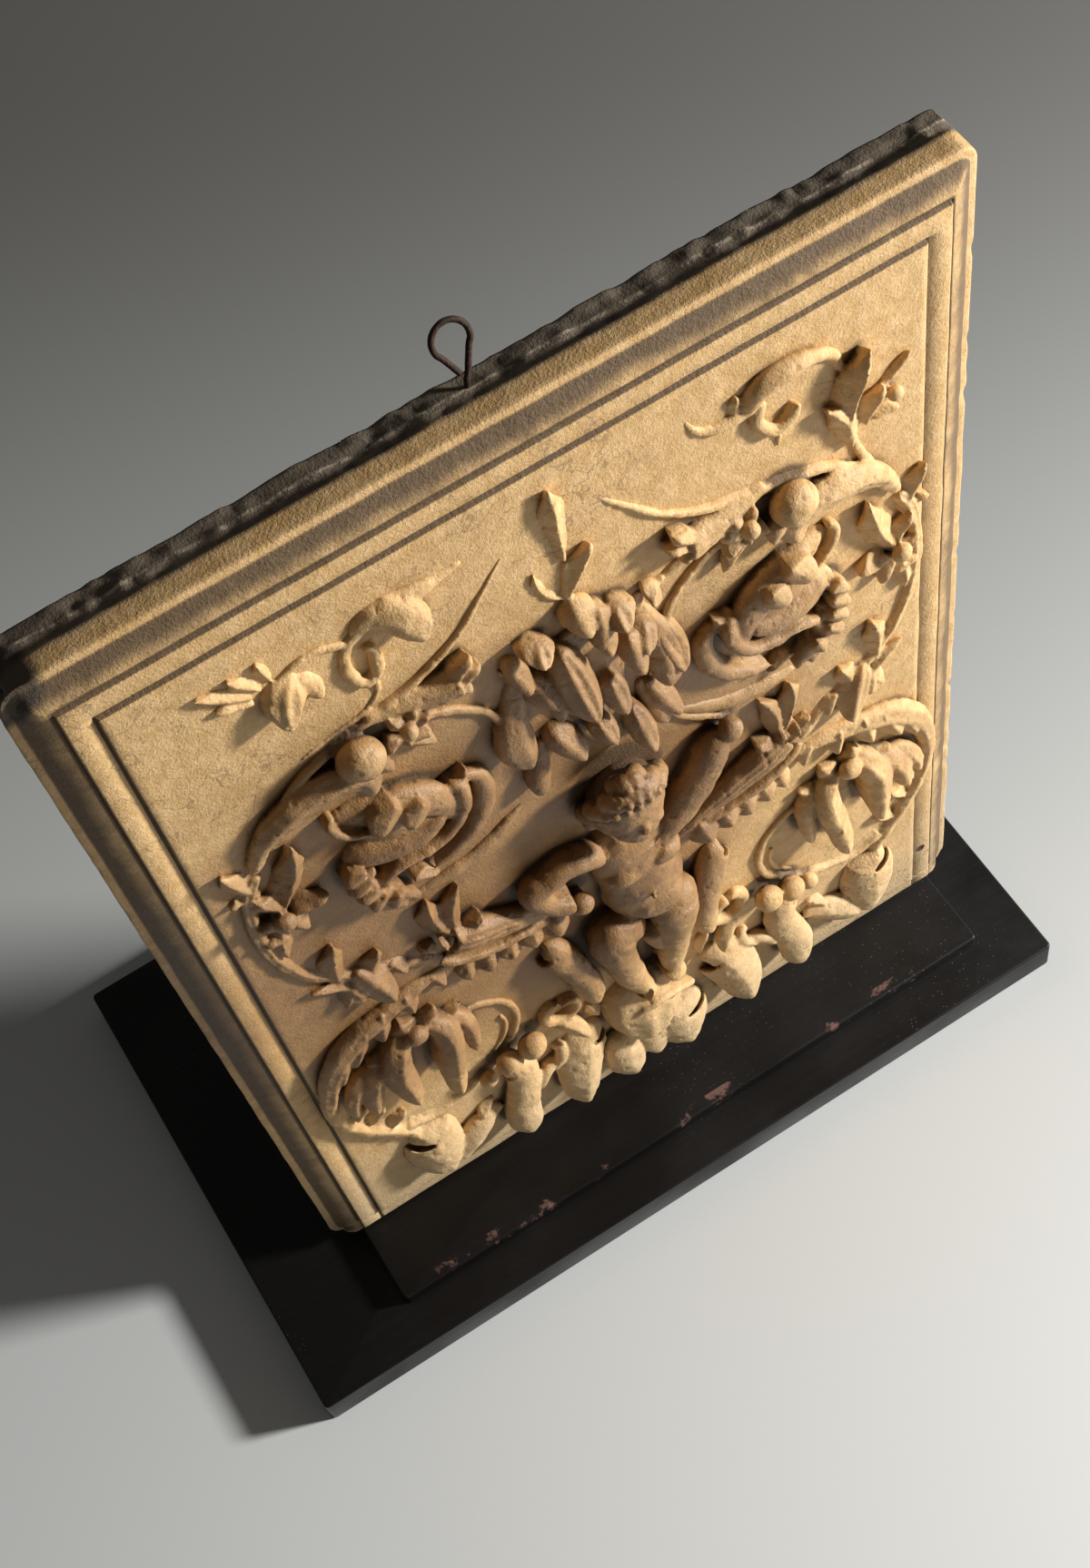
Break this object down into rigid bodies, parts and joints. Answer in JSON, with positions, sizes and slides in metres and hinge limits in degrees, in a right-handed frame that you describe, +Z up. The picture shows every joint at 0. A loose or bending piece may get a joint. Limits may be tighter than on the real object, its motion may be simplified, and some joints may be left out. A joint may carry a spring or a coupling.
{
  "type": "plaster relief panel",
  "caption": "Upright cast plaster panel with a moulded border and high relief of a child, scrolls, birds and leaves, on a low stepped stand, with a wire loop on top.",
  "frame": {"origin": "middle of the stand's underside", "axes": "+Z up, +X to the right along the panel's width, the carved face looks along -Y"},
  "size_m": [0.422, 0.258, 0.5596],
  "materials": {
    "relief_panel": "ochre-toned plaster, dull with a shellac sheen in the middle",
    "stand": "ebonised, satin, worn at the step's edge",
    "hanging_loop": "rusty wire"
  },
  "bodies": {
    "root": {"relief_panel": "relief_panel", "stand": "stand", "hanging_loop": "hanging_loop"}
  },
  "joints": []
}
